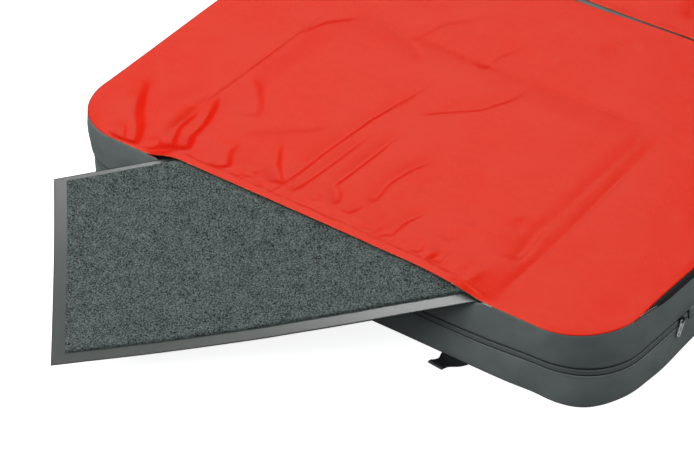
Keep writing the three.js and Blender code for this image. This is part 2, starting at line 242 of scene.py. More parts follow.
class Nodes:
    """A material's node tree, with short calls that make a node and link its inputs."""

    def __init__(self, name):
        self.material = bpy.data.materials.new(name)
        self.material.use_nodes = True
        self.tree = self.material.node_tree
        self.shader = self.tree.nodes["Principled BSDF"]

    def add(self, kind, settings=(), **inputs):
        made = self.tree.nodes.new(kind)
        for key, value in dict(settings).items():
            setattr(made, key, value)
        for key, value in inputs.items():
            self.feed(made.inputs[key.replace("_", " ")], value)
        return made

    def feed(self, socket, value):
        if isinstance(value, bpy.types.NodeSocket):
            self.tree.links.new(value, socket)
        else:
            socket.default_value = value

    def coords(self, kind="Object"):
        return self.add("ShaderNodeTexCoord").outputs[kind]

    def noise(self, vector, scale, detail=3.0, roughness=0.55):
        made = self.add("ShaderNodeTexNoise", Vector=vector, Scale=scale, Detail=detail, Roughness=roughness)
        return made.outputs["Fac"]

    def math(self, operation, a, b=0.5, c=0.5):
        made = self.add("ShaderNodeMath", {"operation": operation})
        for socket, value in zip(made.inputs, (a, b, c)):
            self.feed(socket, value)
        return made.outputs[0]

    def remap(self, value, low, high, to_low=0.0, to_high=1.0):
        made = self.add("ShaderNodeMapRange", Value=value)
        for socket, number in zip(list(made.inputs)[1:5], (low, high, to_low, to_high)):
            socket.default_value = number
        return made.outputs[0]

    def mix(self, fac, a, b):
        made = self.add("ShaderNodeMix", {"data_type": "RGBA"})
        for socket, value in zip((made.inputs[0], made.inputs[6], made.inputs[7]), (fac, a, b)):
            self.feed(socket, value)
        return made.outputs[2]

    def threads(self, vector, pitch):
        """Plain weave: two crossed sets of threads, `pitch` metres apart, as a height from 0 to 1."""
        scale = 2 * math.pi / (20 * pitch)
        warp, weft = (
            self.add("ShaderNodeTexWave", {"bands_direction": way}, Vector=vector, Scale=scale,
                     Distortion=0.0)
            for way in ("X", "Y")
        )
        return self.math("MAXIMUM", warp.outputs["Fac"], weft.outputs["Fac"])

    def bump(self, height, distance, strength=1.0, normal=None):
        made = self.add("ShaderNodeBump", Height=height, Distance=distance, Strength=strength)
        if normal is not None:
            self.feed(made.inputs["Normal"], normal)
        return made.outputs["Normal"]

    def finish(self, color, roughness, normal=None, **constants):
        self.feed(self.shader.inputs["Base Color"], color)
        self.feed(self.shader.inputs["Roughness"], roughness)
        if normal is not None:
            self.feed(self.shader.inputs["Normal"], normal)
        for key, value in constants.items():
            self.shader.inputs[key.replace("_", " ")].default_value = value
        return self.material


def rgb(r, g, b):
    return (r, g, b, 1.0)


def woven(name, color, dark, pitch, coords="Object", roughness=0.6, bump=0.15, patch=9.0, swell=0.12,
          **constants):
    """Woven cloth: crossed threads, uneven dye and a slight change of sheen from place to place."""
    n = Nodes(name)
    where = n.coords(coords)
    weave = n.threads(where, pitch)
    patches = n.noise(where, patch)
    fleck = n.noise(where, 0.7 / pitch, detail=2.0)
    uneven = n.math("MULTIPLY_ADD", fleck, 0.35, n.math("MULTIPLY", patches, 0.5))
    tone = n.math("MULTIPLY_ADD", weave, 0.35, uneven)
    shade = n.mix(n.remap(tone, 0.25, 0.95), dark, color)
    rough = n.remap(n.math("MULTIPLY_ADD", patches, 0.6, n.math("MULTIPLY", fleck, 0.4)), 0.3, 0.7,
                    roughness - 0.06, roughness + 0.06)
    slow = n.bump(patches, 2 * MM, swell)
    return n.finish(shade, rough, n.bump(weave, pitch * 0.4, bump, slow), **constants)


def carpet_material():
    n = Nodes("carpet_pile")
    where = n.coords()
    tufts = n.noise(where, 400.0, detail=2.0, roughness=0.7)
    fibres = n.noise(where, 1100.0, detail=2.0)
    clumps = n.noise(where, 60.0)
    coarse = n.math("MULTIPLY_ADD", clumps, 0.15, n.math("MULTIPLY", tufts, 0.8))
    tone = n.math("MULTIPLY_ADD", fibres, 0.35, coarse)
    shade = n.mix(n.remap(tone, 0.52, 0.80), rgb(0.005, 0.007, 0.007), rgb(0.16, 0.195, 0.185))
    return n.finish(shade, 0.95, n.bump(tone, 2 * MM, 0.8), Specular_IOR_Level=0.15)


def rubber_material():
    n = Nodes("mat_rubber")
    where = n.coords()
    smudge = n.noise(where, 14.0)
    grain = n.noise(where, 900.0)
    shade = n.mix(smudge, rgb(0.036, 0.046, 0.041), rgb(0.050, 0.062, 0.055))
    height = n.add("ShaderNodeSeparateXYZ", Vector=where).outputs["Z"]
    dust = n.remap(height, 0.115, 0.045)
    rough = n.math("MULTIPLY_ADD", dust, 0.34, n.remap(smudge, 0.0, 1.0, 0.20, 0.25))
    return n.finish(shade, rough, n.bump(grain, 0.3 * MM, 0.2), Specular_IOR_Level=0.6)


def webbing_material():
    n = Nodes("black_webbing")
    where = n.coords("UV")
    rib_scale = 0.314 / (1.6 * MM)
    ribs = n.add("ShaderNodeTexWave", {"bands_direction": "X"}, Vector=where, Scale=rib_scale, Distortion=0.4)
    weave = n.threads(where, 0.9 * MM)
    height = n.math("MULTIPLY_ADD", ribs.outputs["Fac"], 0.7, weave)
    shade = n.mix(n.remap(height, 0.4, 1.6), rgb(0.006, 0.008, 0.009), rgb(0.035, 0.042, 0.045))
    return n.finish(shade, 0.65, n.bump(height, 0.5 * MM, 0.5))


def enamel(name, color, worn, metallic):
    """Enamelled zinc, with the colour rubbed thin in places."""
    n = Nodes(name)
    where = n.coords()
    wear = n.remap(n.noise(where, 260.0, detail=4.0), 0.60, 0.75)
    rough = n.remap(n.noise(where, 500.0), 0.3, 0.7, 0.28, 0.42)
    return n.finish(n.mix(wear, color, worn), rough, n.bump(wear, 0.05 * MM, 0.2), Metallic=metallic)


def thread_material(name, color, dark):
    n = Nodes(name)
    where = n.coords()
    wave = n.add("ShaderNodeTexWave", {"bands_direction": "DIAGONAL"}, Vector=where, Scale=600.0,
                 Distortion=1.0)
    twist = wave.outputs["Fac"]
    return n.finish(n.mix(twist, dark, color), 0.7, n.bump(twist, 0.1 * MM, 0.4))


def foam_material(name, color, dark, cell):
    n = Nodes(name)
    where = n.coords()
    cells = n.add("ShaderNodeTexVoronoi", Vector=where, Scale=1 / cell).outputs["Distance"]
    tone = n.math("MULTIPLY_ADD", n.noise(where, 20.0), 0.3, cells)
    return n.finish(n.mix(n.remap(tone, 0.1, 0.9), dark, color), 0.9, n.bump(cells, cell, 0.4))


RED = woven("red_cloth", rgb(0.745, 0.010, 0.002), rgb(0.68, 0.007, 0.001), 0.7 * MM, roughness=0.27,
            bump=0.05, Specular_IOR_Level=0.42, Specular_Tint=rgb(1.0, 0.88, 0.42))
GREY = woven("grey_cloth", rgb(0.175, 0.200, 0.195), rgb(0.095, 0.112, 0.111), 0.9 * MM, "UV", 0.62, 0.25,
             patch=26.0, swell=0.6)
GREY_FLAT = woven("grey_cloth_flat", rgb(0.072, 0.082, 0.079), rgb(0.040, 0.047, 0.046), 0.9 * MM, "Object",
                  0.65, 0.3)
LINING = woven("lining_cloth", rgb(0.030, 0.034, 0.036), rgb(0.012, 0.014, 0.015), 0.8 * MM)
TAPE = woven("zip_tape", rgb(0.130, 0.150, 0.145), rgb(0.075, 0.088, 0.086), 0.6 * MM, "UV", 0.6, 0.4)
# Near-black tape: the closed edge coil's own colour, and painted shade on the strip set behind the main zips'
# cover.
DARK_TAPE_AND_SHADE = woven("zip_tape_dark_and_shade", rgb(0.030, 0.034, 0.035), rgb(0.014, 0.017, 0.018), 0.6 * MM)
CARPET = carpet_material()
RUBBER = rubber_material()
WEBBING = webbing_material()
HEM_EDGE = woven("webbing_hem", rgb(0.085, 0.090, 0.092), rgb(0.035, 0.038, 0.040), 0.9 * MM, "UV", 0.7, 0.4)
SLIDER = enamel("black_enamel", rgb(0.012, 0.012, 0.013), rgb(0.18, 0.18, 0.17), 0.4)
PULL = enamel("grey_enamel", rgb(0.60, 0.62, 0.60), rgb(0.40, 0.41, 0.40), 0.15)
TAPE_BLACK = woven("edge_zip_tape", rgb(0.012, 0.014, 0.015), rgb(0.005, 0.006, 0.007), 0.6 * MM)
COIL = enamel("zip_coil", rgb(0.42, 0.43, 0.42), rgb(0.60, 0.60, 0.58), 0.0)
THREAD = thread_material("white_thread", rgb(0.82, 0.80, 0.74), rgb(0.45, 0.43, 0.40))
RED_THREAD = thread_material("red_thread", rgb(0.62, 0.020, 0.012), rgb(0.35, 0.010, 0.006))
GREY_THREAD = thread_material("grey_thread", rgb(0.050, 0.056, 0.055), rgb(0.020, 0.022, 0.022))
CLOSED_FOAM = foam_material("closed_cell_foam", rgb(0.060, 0.064, 0.070), rgb(0.025, 0.027, 0.030), 1.5 * MM)
OPEN_FOAM = foam_material("open_cell_foam", rgb(0.72, 0.64, 0.42), rgb(0.40, 0.34, 0.20), 2.5 * MM)


def dress(obj, material, body):
    """Gives a piece its material and the body that it rides on."""
    obj.data.materials.clear()
    obj.data.materials.append(material)
    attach(obj, body)
    return obj


def paint_cad(node, material):
    """A better material on a CAD node that stays."""
    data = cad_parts[node].data
    for i in range(len(data.materials)):
        data.materials[i] = material
    if not data.materials:
        data.materials.append(material)


# ---------------------------------------------------------------- camera, light and floor

EYE = Vector((2.978, -3.783, 3.538))
LENS_MM, SENSOR_MM = 207.5, 36.0
ELEVATION, HEADING, ROLL = (math.radians(v) for v in (36.95, -40.37, -3.20))


def add_camera():
    ahead = Vector((math.sin(HEADING) * math.cos(ELEVATION), math.cos(HEADING) * math.cos(ELEVATION),
                    -math.sin(ELEVATION)))
    level = Vector((math.cos(HEADING), -math.sin(HEADING), 0))
    above = level.cross(ahead)
    right = level * math.cos(ROLL) + above * math.sin(ROLL)
    up = above * math.cos(ROLL) - level * math.sin(ROLL)
    data = bpy.data.cameras.new("camera")
    data.lens, data.sensor_width = LENS_MM, SENSOR_MM
    data.clip_end = 50
    camera = bpy.data.objects.new("camera", data)
    axes = Matrix((right, up, -ahead)).transposed()
    camera.matrix_world = Matrix.Translation(EYE) @ axes.to_4x4()
    bpy.context.scene.collection.objects.link(camera)
    bpy.context.scene.camera = camera


def add_light(name, place, target, size, power):
    data = bpy.data.lights.new(name, "AREA")
    data.shape, data.size, data.size_y, data.energy = "RECTANGLE", size[0], size[1], power
    light = bpy.data.objects.new(name, data)
    light.location = place
    light.rotation_euler = (Vector(target) - Vector(place)).to_track_quat("-Z", "Y").to_euler()
    bpy.context.scene.collection.objects.link(light)


def add_studio():
    scene = bpy.context.scene
    scene.view_settings.view_transform = "Standard"
    scene.world = bpy.data.worlds.new("studio")
    scene.world.use_nodes = True
    backdrop = scene.world.node_tree.nodes["Background"]
    tree = scene.world.node_tree
    up = tree.nodes.new("ShaderNodeSeparateXYZ")
    tree.links.new(tree.nodes.new("ShaderNodeTexCoord").outputs["Generated"], up.inputs[0])
    dome = tree.nodes.new("ShaderNodeMapRange")
    dome.inputs["From Min"].default_value, dome.inputs["From Max"].default_value = -0.05, 0.25
    dome.inputs["To Min"].default_value, dome.inputs["To Max"].default_value = 0.05, 0.60
    tree.links.new(up.outputs["Z"], dome.inputs["Value"])
    tree.links.new(dome.outputs[0], backdrop.inputs["Strength"])
    backdrop.inputs["Color"].default_value = (0.95, 0.98, 1.0, 1)
    scene.world.cycles_visibility.glossy = False
    middle = (0, 0, 0.1)
    add_light("key", (-2.95, 0.28, 5.20), middle, (1.9, 1.9), 110)
    add_light("sheen", (-3.6, 4.3, 4.3), middle, (2.4, 2.4), 21)
    add_light("front_fill", (-1.9, -3.0, 1.5), middle, (1.6, 1.2), 62)
    add_light("right_fill", (3.3, 1.5, 1.4), middle, (1.4, 1.2), 40)
    far = 9
    corners = [(-far, -far, 0), (far, -far, 0), (far, far, 0), (-far, far, 0)]
    floor = new_object("floor", corners, [(0, 1, 2, 3)], smooth=False)
    n = Nodes("pale_floor")
    n.shader.inputs["Emission Color"].default_value = (1, 1, 1, 1)
    n.shader.inputs["Emission Strength"].default_value = 0.84
    floor.data.materials.append(n.finish(rgb(0.90, 0.90, 0.90), 0.9))
    floor.location.z = -0.5 * MM
    floor.visible_diffuse = floor.visible_glossy = False


# ---------------------------------------------------------------- how the stuffed cover bows and folds

CORNER_X, CORNER_Y = HALF_W - CORNER_R, FREE_Y + CORNER_R


def hump(value, middle, width):
    return np.exp(-(((value - middle) / width) ** 2))


def side_bow(x, y, z):
    """How far the stuffed side stands out from the straight outline, at a point of that outline."""
    low, high = 1 - smoothstep(z / 0.07), smoothstep((z - 0.05) / 0.06)
    belly = 5.0 * smoothstep((y + 0.26) / 0.34) * smoothstep((HINGE_Y - y) / 0.22) * (x < -CORNER_X)
    turn_left = np.degrees(np.arctan2(CORNER_Y - y, -CORNER_X - x))
    left = (x < 0) * hump(turn_left, 38, 24) * (5.6 * high - 4.5 + 3.0 * hump(z, 0.060, 0.012))
    turn_right = np.degrees(np.arctan2(x - CORNER_X, CORNER_Y - y))
    right = (x > 0) * (5.0 * hump(turn_right, 38, 20) - 3.0 * hump(x, 0.38, 0.035) * (y < CORNER_Y))
    right = right + (x > CORNER_X) * (2.2 * hump(y, -0.20, 0.035) - 3.0 * hump(y, -0.11, 0.035))
    return MM * (belly + left + low * right)


def zip_wander(points):
    """How far the zip runs above its straight line: it rises round the right corner."""
    return 8.2 * MM * hump(np.hypot(points[:, 0] - 0.40, points[:, 1] - FREE_Y), 0, 0.085)


def outward(x, y):
    """The direction straight out through the nearest side of the front half."""
    dx, dy = np.abs(x) - CORNER_X, y - CORNER_Y
    corner = (dx > 0) & (dy < 0)
    reach = np.maximum(np.hypot(dx, dy), 1e-9)
    beside = HALF_W - np.abs(x) < y - FREE_Y
    nx = np.where(corner, dx / reach, np.where(beside, 1.0, 0.0)) * np.sign(x)
    ny = np.where(corner, dy / reach, np.where(beside, 0.0, -1.0))
    return nx, ny


def hinge_bow(x):
    """The wander of the line where the halves meet."""
    return MM * (5.5 * hump(x, 0.20, 0.13) - 3.5 * hump(x, -0.03, 0.12))


def hinge_reach(x):
    """How far each top closes over the strip."""
    return 3.0 * MM * smoothstep((x + 0.02) / 0.14)


def slot_lift(x):
    return smoothstep((x + 0.336) / 0.052) * smoothstep((0.316 - x) / 0.09)


def slot_pull(x):
    return smoothstep((x + 0.322) / 0.055) * smoothstep((0.318 - x) / 0.17)


def slot_shift(x, y):
    """How far the hem over the slot has slipped back on the front top."""
    return 10 * MM * slot_pull(x) * smoothstep(1 - (y - FREE_Y) / 0.10)


# The front top's seams and folds: points (x, y) in metres, then half width and depth in millimetres.
POCKET_SEAMS = [
    ([(-0.333, 0.11), (-0.334, -0.17), (-0.327, -0.31)], 2.2, 0.45),
    ([(-0.30, 0.128), (-0.05, 0.125), (0.25, 0.131)], 2.5, 0.35),
    ([(0.277, 0.145), (0.287, 0.0), (0.300, -0.15), (0.308, -0.325)], 2.5, 0.5),
    ([(0.240, 0.140), (0.256, 0.08), (0.262, -0.05), (0.272, -0.18), (0.284, -0.27)], 3.5, 0.3),
]
FRONT_FOLDS = [
    ([(-0.445, -0.195), (-0.421, -0.240), (-0.400, -0.270), (-0.374, -0.296), (-0.345, -0.338)], 7.0, 2.4),
    ([(-0.405, -0.297), (-0.386, -0.317), (-0.372, -0.338)], 4.5, 0.9),
    ([(-0.330, -0.165), (-0.312, -0.202), (-0.297, -0.238), (-0.290, -0.278), (-0.268, -0.320)], 6.0, 2.1),
    ([(-0.327, -0.205), (-0.322, -0.268), (-0.311, -0.292), (-0.294, -0.318)], 4.5, 1.7),
    ([(-0.330, -0.095), (-0.290, -0.121), (-0.266, -0.146), (-0.240, -0.182)], 8.0, 0.8),
    ([(-0.345, -0.15), (-0.37, -0.19), (-0.40, -0.22)], 20.0, 0.5),
    ([(-0.330, -0.300), (-0.318, -0.318), (-0.312, -0.330)], 5.0, 0.8),
    ([(-0.229, -0.238), (-0.215, -0.283), (-0.193, -0.318)], 8.0, 1.1),
    ([(-0.110, -0.115), (-0.160, -0.168), (-0.240, -0.235)], 11.0, 0.6),
    ([(-0.178, -0.205), (-0.142, -0.258), (-0.103, -0.300)], 5.0, 1.1),
    ([(-0.152, -0.195), (-0.106, -0.238)], 5.0, 0.4),
    ([(-0.155, -0.285), (-0.148, -0.320)], 4.0, 0.5),
    ([(-0.084, 0.085), (-0.086, 0.0), (-0.100, -0.09), (-0.104, -0.20), (-0.102, -0.312)], 4.2, 0.95),
    ([(-0.075, -0.09), (-0.077, -0.20), (-0.080, -0.318)], 3.8, 0.8),
    ([(-0.043, -0.060), (-0.040, -0.15), (-0.041, -0.25), (-0.024, -0.262), (-0.012, -0.282),
      (-0.012, -0.305)], 3.6, 0.9),
    ([(-0.045, -0.270), (-0.040, -0.308)], 3.0, 0.4),
    ([(0.048, -0.100), (0.025, -0.160), (0.020, -0.200), (0.031, -0.258)], 4.2, 0.95),
    ([(0.008, -0.260), (0.022, -0.274), (0.019, -0.304)], 3.2, 0.8),
    ([(0.076, -0.150), (0.065, -0.190), (0.068, -0.242)], 3.8, 0.4),
    ([(0.052, -0.240), (0.064, -0.290), (0.073, -0.318)], 3.2, 0.5),
    ([(0.109, -0.215), (0.097, -0.265), (0.103, -0.320)], 3.8, 0.8),
    ([(0.143, -0.275), (0.158, -0.320)], 3.6, 0.65),
    ([(0.188, -0.270), (0.196, -0.324)], 3.6, 0.6),
    ([(0.190, -0.228), (0.166, -0.268)], 4.5, 0.35),
    ([(0.045, 0.135), (0.041, 0.07), (0.018, 0.02), (-0.055, -0.045)], 4.5, 0.6),
    ([(-0.022, 0.20), (-0.043, 0.15), (-0.045, 0.105)], 4.5, 0.5),
    ([(-0.105, 0.24), (-0.165, 0.17), (-0.178, 0.11), (-0.125, 0.075)], 6.0, 0.5),
    ([(-0.275, 0.115), (-0.318, 0.07), (-0.330, 0.03)], 5.5, 0.5),
    ([(0.120, -0.090), (0.160, -0.155), (0.185, -0.215)], 10.0, 0.7),
    ([(0.228, -0.155), (0.246, -0.185)], 5.0, 0.4),
    ([(0.083, -0.01), (0.088, -0.100)], 6.0, 0.5),
    ([(0.258, -0.135), (0.272, -0.195), (0.281, -0.245)], 9.0, 0.9),
    ([(0.060, 0.245), (0.100, 0.300)], 8.0, 0.5),
]
PUCKER_PITCH = 13 * MM
FOLD_GAIN = 1.9  # every fold is this many times as deep as its list says


def edge_puckers():
    """Short gathers that run from the slot's hem, one about every 13 mm."""
    chance = np.random.default_rng(17)
    puckers = []
    for x in np.arange(-0.262, 0.245, PUCKER_PITCH):
        shift, lean = chance.uniform(-4, 4), chance.uniform(-6, 10)
        length, depth = chance.uniform(12, 30), chance.uniform(0.2, 0.5)
        start = x + shift * MM
        points = [(start + lean * MM, FREE_Y + (16 + length) * MM), (start, FREE_Y + 14 * MM)]
        puckers.append((points, 2.6, depth))
    return puckers


REAR_FOLDS = [
    ([(-0.36, -0.22), (-0.31, -0.28), (-0.26, -0.325)], 8.0, 1.6),
    ([(-0.12, -0.10), (-0.10, -0.22), (-0.11, -0.32)], 6.0, 1.2),
    ([(0.02, 0.27), (0.05, 0.20), (0.04, 0.10)], 7.0, 1.1),
    ([(0.14, 0.30), (0.12, 0.24)], 5.0, 1.0),
    ([(0.31, -0.18), (0.35, -0.25), (0.40, -0.31)], 8.0, 1.5),
    ([(-0.20, 0.28), (-0.24, 0.18), (-0.22, 0.08)], 8.0, 1.0),
    ([(0.20, -0.02), (0.26, -0.08), (0.30, -0.16)], 9.0, 1.0),
]


def fold_sum(x, y, folds):
    return sum(fold_line(x, y, points, width * MM, FOLD_GAIN * depth * MM) for points, width, depth in folds)


def front_relief(x, y):
    """The heights of the front top: the puffed pocket, its seams, the folds from the slot and the dents."""
    right_seam = 0.287 - 0.07 * y
    beside = smoothstep((x + 0.333) / 0.06) * smoothstep((right_seam - x) / 0.06)
    pocket = beside * smoothstep((0.128 - y) / 0.06)
    behind = y - FREE_Y
    z = 1.6 * MM * pocket + 4.4 * MM * slot_lift(x) * (1 - smoothstep(behind / 0.12))
    z = z + fold_sum(x, y, FRONT_FOLDS + POCKET_SEAMS + edge_puckers())
    hem = slot_lift(x) * hump(behind, 0.018, 0.003)
    z = z - 0.12 * MM * hem * (1 + value_noise(x, y, 0.012, 5))
    z = z + 0.7 * MM * slot_lift(x) * value_noise(x, 0 * y, 0.014, 6) * hump(behind, 0.03, 0.02)
    return z + 0.7 * MM * value_noise(x, y, 0.12, 3) + 0.25 * MM * value_noise(x, y, 0.035, 4)


def rear_relief(x, y):
    z = fold_sum(x, y, REAR_FOLDS) + 1.2 * MM * smoothstep(edge_distance(x, y) / 0.15)
    return z + 0.9 * MM * value_noise(x, y, 0.12, 13) + 0.3 * MM * value_noise(x, y, 0.04, 14)


# ---------------------------------------------------------------- the red tops

EDGE_ROUND = 1.3 * MM
HEM_W, HEM_EXTRA = 14 * MM, 0.8 * MM


def top_grid(end, step):
    """The top panel of one half, drawn in the front half's place, and its inner face."""
    fine = np.array([0, 0.4, 0.9, 1.6, 2.6, 4.0, 6.0, 9.0]) * MM
    inner = np.linspace(-HALF_W + 0.012, HALF_W - 0.012, int(2 * HALF_W / step))
    columns = np.concatenate([-HALF_W + fine, inner, HALF_W - fine[::-1]]) / HALF_W
    turn = np.linspace(0, math.pi / 2, 33)
    width_arc = HALF_W - CORNER_R + CORNER_R * np.sin(turn)
    hinge = TOP_HIGH[1]
    rest = np.linspace(CORNER_Y, hinge - 0.012, int((hinge - CORNER_Y) / step))[1:]
    rows = np.concatenate([FREE_Y + CORNER_R * (1 - np.cos(turn)), rest, hinge - fine[::-1]])
    widths = np.concatenate([width_arc, np.full(len(rows) - len(turn), HALF_W)])
    x = columns[:, None] * widths[None, :]
    y = np.broadcast_to(rows[None, :], x.shape).copy()
    inside = np.clip(edge_distance(x, y), 0, None)
    drop = EDGE_ROUND - np.sqrt(EDGE_ROUND**2 - np.clip(EDGE_ROUND - inside, 0, EDGE_ROUND) ** 2)
    near_edge = smoothstep(inside / 0.015)
    front = end == "front"
    if front:
        free = slot_lift(x) * (y - FREE_Y < 0.02)
        drop, near_edge = drop * (1 - free), np.maximum(near_edge, free)
    z = TOP_Z - drop + (front_relief(x, y) if front else rear_relief(x, y)) * near_edge
    bow = side_bow(x, y, TOP_Z) * smoothstep(1 - inside / 0.06) * (1.0 if front else 0.6)
    nx, ny = outward(x, y)
    shift = (hinge_bow(x) * (1 if front else -1) + hinge_reach(x)) * smoothstep(1 - (hinge - y) / 0.08)
    pull, zip_tuck, hem = 0, 0, 0 * x
    if front:
        pull = slot_shift(x, y)
        zip_tuck = 2.6 * MM * (x > 0) * smoothstep(1 - inside / 0.03) * smoothstep((y + 0.262) / 0.085)
        hem = HEM_EXTRA * slot_lift(x) * (1 - smoothstep((y - FREE_Y - HEM_W) / (2 * MM)))
    p = np.stack([x + nx * (bow - zip_tuck), y + ny * bow + shift + pull, z], axis=-1)
    normal = grid_normals(p)
    thick = CLOTH + hem
    return p, np.stack([x, y], axis=-1), p - normal * thick[..., None]


def add_red_tops():
    step = 3.4 * MM
    for end in ("front", "rear"):
        p, uv, inner = top_grid(end, step)
        if end == "rear":
            top = cloth_piece("rear_red_top", mirrored(p), uv, flip=True, inner=mirrored(inner))
            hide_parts("rear_top_panel")
        else:
            top = cloth_piece("front_red_top", p, uv, inner=inner)
            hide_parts("front_top_panel", "slot_hem")
        dress(top, RED, f"{end}_half")


# ---------------------------------------------------------------- the side bands and their zips

SEAM_TOP_Z = TOP_Z - 1.3 * MM
SEAM_BASE_Z = 2.4 * MM
BAND_Z = (ZIP_Z - 7.2 * MM, ZIP_Z + 6.3 * MM)
ZIP_CLOSE_Y = ZIP_END_Y + 20 * MM
LIP_Z = POCKET_LOW[2] + 5.6 * MM
EDGE_ZIP_DROP = 10.5 * MM


def edge_open(y):
    """How far the top's right seam has opened into the short zip, from 0 to 1."""
    return smoothstep((y + 0.260) / 0.085)


def band_top(points, end):
    """The height of the upper band's top edge: lower along the slot and along the edge zip."""
    x, y = points[:, 0], points[:, 1]
    top = np.full(len(points), SEAM_TOP_Z)
    if end == "front":
        slot = smoothstep((x + 0.311) / 0.02) * smoothstep((0.300 - x) / 0.02) * (y < CORNER_Y)
        top = top - (SEAM_TOP_Z - LIP_Z) * slot
        zipped = (x > 0) * edge_open(y) * smoothstep((HINGE_Y - 0.03 - y) / 0.01)
        top = top - EDGE_ZIP_DROP * zipped
    return top


def band_grid(path, z0, z1, bulge, lean, seed, tucks, rows=17):
    """A strip of side band that swells between its two seams and turns in at each edge."""
    points, _, length = path
    t = np.linspace(0, 1, rows)
    t = np.concatenate([[0, 0.012, 0.03], t[1:-1], [0.97, 0.988, 1]])
    swell = bulge * np.sin(math.pi * t) ** 0.7 + lean * (1 - t)
    swell[0] -= tucks[0]
    swell[1] -= 0.4 * tucks[0]
    swell[-1] -= tucks[1]
    swell[-2] -= 0.4 * tucks[1]
    z0, z1 = np.broadcast_to(z0, len(points)), np.broadcast_to(z1, len(points))
    z = z0[:, None] + (z1 - z0)[:, None] * t[None, :]
    s = length[:, None]
    soft = np.sin(math.pi * t)[None, :] ** 0.5
    ripple = 1.5 * MM * value_noise(s, z * 0.6, 0.045, seed) + 0.9 * MM * value_noise(s, z, 0.024, seed + 1)
    bow = side_bow(points[:, 0][:, None], points[:, 1][:, None], z)
    return swept(path, swell[None, :] + ripple * soft + bow, z)


def zip_only(path, y_end):
    """The stretch of the side path in front of y_end, which the zip follows."""
    points, normals, length = path
    keep = points[:, 1] < y_end
    return points[keep], normals[keep], length[keep]


def add_strip(name, end, path, profile, material, replaced, thick):
    """A narrow cloth strip along the zip, from (inset, height) points in mm from the zip's middle."""
    inset, height = np.array(profile, float).T * MM
    z = ZIP_Z + height + zip_wander(path[0])[:, None]
    bow = side_bow(path[0][:, 0][:, None], path[0][:, 1][:, None], z)
    p, uv = swept(path, bow - inset, z)
    strip = half_piece(name, end, p, uv, thick)
    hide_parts(replaced)
    dress(strip, material, f"{end}_half")


def add_bands(end):
    path = side_path()
    zipped = zip_only(path, ZIP_CLOSE_Y + 8 * MM)
    closing = smoothstep((path[0][:, 1] - ZIP_CLOSE_Y) / (12 * MM))
    slot_low = BAND_Z[0] + (ZIP_Z - 0.9 * MM - BAND_Z[0]) * closing
    slot_high = BAND_Z[1] + (ZIP_Z - 0.4 * MM - BAND_Z[1]) * closing
    slot_low, slot_high = slot_low + zip_wander(path[0]), slot_high + zip_wander(path[0])
    parts = {
        "upper": (slot_high, band_top(path[0], end), 1.2 * MM, 0.6 * MM, 21, (0.2 * MM, 1.0 * MM)),
        "lower": (SEAM_BASE_Z, slot_low, 1.5 * MM, 2.0 * MM, 27, (1.6 * MM, 0.5 * MM)),
    }
    for level, (z0, z1, bulge, lean, seed, tucks) in parts.items():
        p, uv = band_grid(path, z0, z1, bulge, lean, seed + 40 * (end == "rear"), tucks)
        band = half_piece(f"{end}_band_{level}", end, p, uv)
        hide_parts(f"{end}_side_band_{level}")
        dress(band, GREY, f"{end}_half")
    cover = [(1.2, -6.7), (0.4, -6.1), (0.1, -4.2), (-0.1, -1.9), (0.3, -1.4), (-0.1, -0.9), (0.1, 0.9),
             (0.9, 1.9), (2.6, 2.4)]
    # The backing is painted shade: a near-black strip set back behind the cover, so that the gaps above and
    # below the zip stay dark under any light.
    shade_backing = [(3.2, -10.5), (2.9, -8.0), (2.6, -5.0), (2.6, 0.0), (2.6, 4.0), (2.9, 8.0), (3.3, 9.5)]
    add_strip(f"{end}_zip_cover", end, zipped, cover, TAPE, f"{end}_zip_tape_upper", 0.7 * MM)
    add_strip(f"{end}_zip_shade_backing", end, zipped, shade_backing, DARK_TAPE_AND_SHADE, f"{end}_zip_tape_lower",
              0.6 * MM)


# ---------------------------------------------------------------- foam under the tops

FOAM_TOP_Z = {"front": 0.1115, "rear": 0.1150}


def add_foam(end):
    """The closed-cell layer under the top, cut a little low so that the cloth's dents clear it."""
    low_z, top_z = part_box(f"{end}_foam_top")[0][2], FOAM_TOP_Z[end]
    path = side_path(inset=6 * MM, step=40 * MM, arc_steps=8)
    ring, round_r = path[0], 3 * MM
    levels = [(low_z, round_r), (low_z + round_r, 0), (top_z - round_r, 0), (top_z, round_r)]
    verts, faces, count = [], [], len(ring)
    centre = ring.mean(axis=0)
    for z, pull in levels:
        inward = (centre - ring) / np.linalg.norm(centre - ring, axis=1, keepdims=True)
        verts += [(x, y, z) for x, y in ring + inward * pull]
    for k in range(len(levels) - 1):
        for i in range(count):
            j = (i + 1) % count
            faces.append([k * count + i, k * count + j, (k + 1) * count + j, (k + 1) * count + i])
    faces.append(list(range(count))[::-1])
    faces.append([3 * count + i for i in range(count)])
    verts = np.array(verts)
    if end == "rear":
        verts, faces = mirrored(verts), [f[::-1] for f in faces]
    foam = new_object(f"{end}_upper_foam", verts, faces, smooth=False)
    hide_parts(f"{end}_foam_top")
    dress(foam, CLOSED_FOAM, f"{end}_half")


# ---------------------------------------------------------------- the doormat

MAT = {
    "width": 0.371,
    "length": 0.620,
    "border": 0.020,
    "rear_border": 0.011,
    "corner": (-0.420, -0.1005),
    "turn": math.radians(39.7),
}
MAT_FLOOR_Z = POCKET_LOW[2] + 1.3 * MM
MAT_EXIT_Z = 0.1205
RUBBER_T = 2.0 * MM
PILE_H = 3.8 * MM


